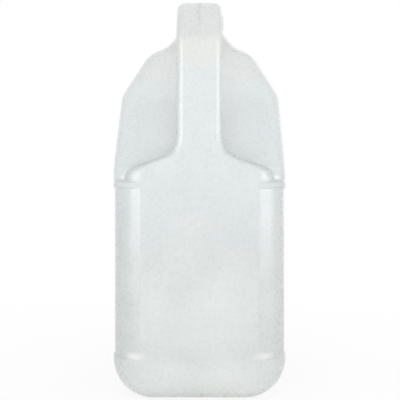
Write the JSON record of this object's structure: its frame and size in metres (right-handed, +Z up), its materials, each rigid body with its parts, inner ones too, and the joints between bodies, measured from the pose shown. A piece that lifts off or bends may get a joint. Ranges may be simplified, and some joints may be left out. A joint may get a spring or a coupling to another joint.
{
  "type": "water jug",
  "caption": "Translucent rectangular blow-moulded water jug with a hollow through-grip handle, filled and closed by a ribbed screw cap.",
  "frame": {"origin": "centre of the foot, on the surface the jug stands on", "axes": "+Z up along the height; +X to the right seen from behind the handle; the handle is on the -Y side and the neck towards +Y"},
  "size_m": [0.1246, 0.16, 0.2951],
  "materials": {
    "jug_plastic": "satin",
    "water": "clear",
    "cap_plastic": "satin",
    "liner_foam": "matte"
  },
  "bodies": {
    "jug": {"jug_shell": "jug_plastic", "jug_shoulder": "jug_plastic", "jug_handle": "jug_plastic", "neck_finish": "jug_plastic", "water": "water", "tamper_ring": "cap_plastic"},
    "liner": {"cap_liner": "liner_foam"},
    "cap": {"screw_cap": "cap_plastic"}
  },
  "joints": [
    {"name": "cap_lift", "type": "slide", "parent": "jug", "child": "liner", "axis": [0, 0, 1], "range_m": [0, 0.0064]},
    {"name": "cap_turn", "type": "hinge", "parent": "liner", "child": "cap", "pos_m": [0, 0.03, 0.285], "axis": [0, 0, 1], "range_deg": [0, 540]}
  ],
  "couplings": [
    {"joint": "cap_lift", "follows": "cap_turn", "m_per_rad": 0.00066845}
  ]
}
